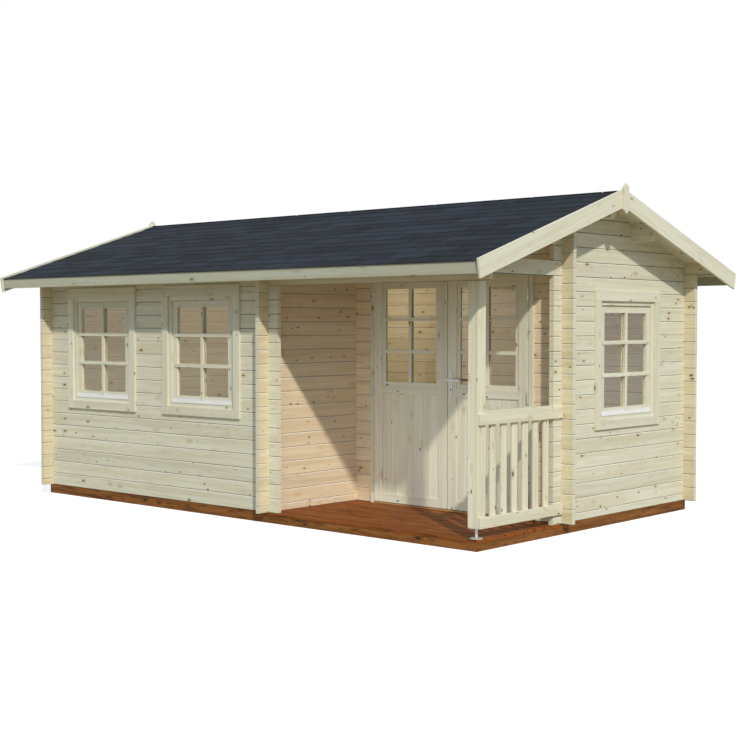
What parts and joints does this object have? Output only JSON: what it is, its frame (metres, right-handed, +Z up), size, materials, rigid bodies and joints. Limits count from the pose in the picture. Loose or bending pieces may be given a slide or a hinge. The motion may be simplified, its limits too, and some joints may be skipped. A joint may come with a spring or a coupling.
{
  "type": "log cabin",
  "caption": "Garden log cabin with a pitched roof, a recessed corner porch with post and railing, glazed double doors and gridded windows.",
  "frame": {"origin": "on the ground, below the middle of the whole cabin with its roof overhangs", "axes": "+X along the ridge towards the porch end, +Y from the porch side to the back, +Z up"},
  "size_m": [5.686, 3.682, 2.6787],
  "materials": {
    "log_wood": "planed, untreated",
    "trim_wood": "planed, untreated",
    "floor_wood": "planed, untreated",
    "stained_wood": "brown impregnated",
    "roof_covering": "mineral shingles over boards",
    "glass": "clear",
    "zinc_steel": "zinc plated",
    "satin_metal": "satin"
  },
  "bodies": {
    "cabin": {"base_frame": "stained_wood", "room_floor": "floor_wood", "porch_deck": "stained_wood", "front_wall": "log_wood", "front_beam": "log_wood", "back_wall": "log_wood", "left_gable_wall": "log_wood", "right_gable_wall": "log_wood", "gable_header": "log_wood", "right_gable_top": "log_wood", "recess_side_wall": "log_wood", "door_wall_left": "log_wood", "door_wall_right": "log_wood", "door_wall_over": "log_wood", "ridge_purlin": "log_wood", "front_purlin": "log_wood", "back_purlin": "log_wood", "front_roof": "roof_covering", "back_roof": "roof_covering", "front_eave_board": "trim_wood", "back_eave_board": "trim_wood", "left_front_bargeboard": "trim_wood", "left_back_bargeboard": "trim_wood", "right_front_bargeboard": "trim_wood", "right_back_bargeboard": "trim_wood", "left_finial": "trim_wood", "right_finial": "trim_wood", "porch_post": "trim_wood", "post_foot": "zinc_steel", "porch_railing": "trim_wood", "front_window_casings": "trim_wood", "front_window_frames": "trim_wood", "front_window_glass": "glass", "gable_window_casing": "trim_wood", "gable_window_frame": "trim_wood", "gable_window_glass": "glass", "door_frame": "trim_wood", "frame_hinges": "zinc_steel"},
    "left_door": {"left_door_leaf": "trim_wood", "left_door_glass": "glass", "left_door_hinges": "zinc_steel"},
    "right_door": {"right_door_leaf": "trim_wood", "right_door_glass": "glass", "right_door_hinges": "zinc_steel", "lock_plates": "satin_metal"},
    "lever": {"door_levers": "satin_metal"}
  },
  "joints": [
    {"name": "left_door_swing", "type": "hinge", "parent": "cabin", "child": "left_door", "pos_m": [0.6655, -0.4653, 1], "axis": [0, 0, -1], "range_deg": [0, 95]},
    {"name": "right_door_swing", "type": "hinge", "parent": "cabin", "child": "right_door", "pos_m": [2.2565, -0.4653, 1], "axis": [0, 0, 1], "range_deg": [0, 95]},
    {"name": "lever_turn", "type": "hinge", "parent": "right_door", "child": "lever", "pos_m": [1.5015, -0.437, 1.15], "axis": [0, 1, 0], "range_deg": [0, 40], "stiffness_Nm_per_rad": 1.5, "springref_deg": -28.65}
  ]
}
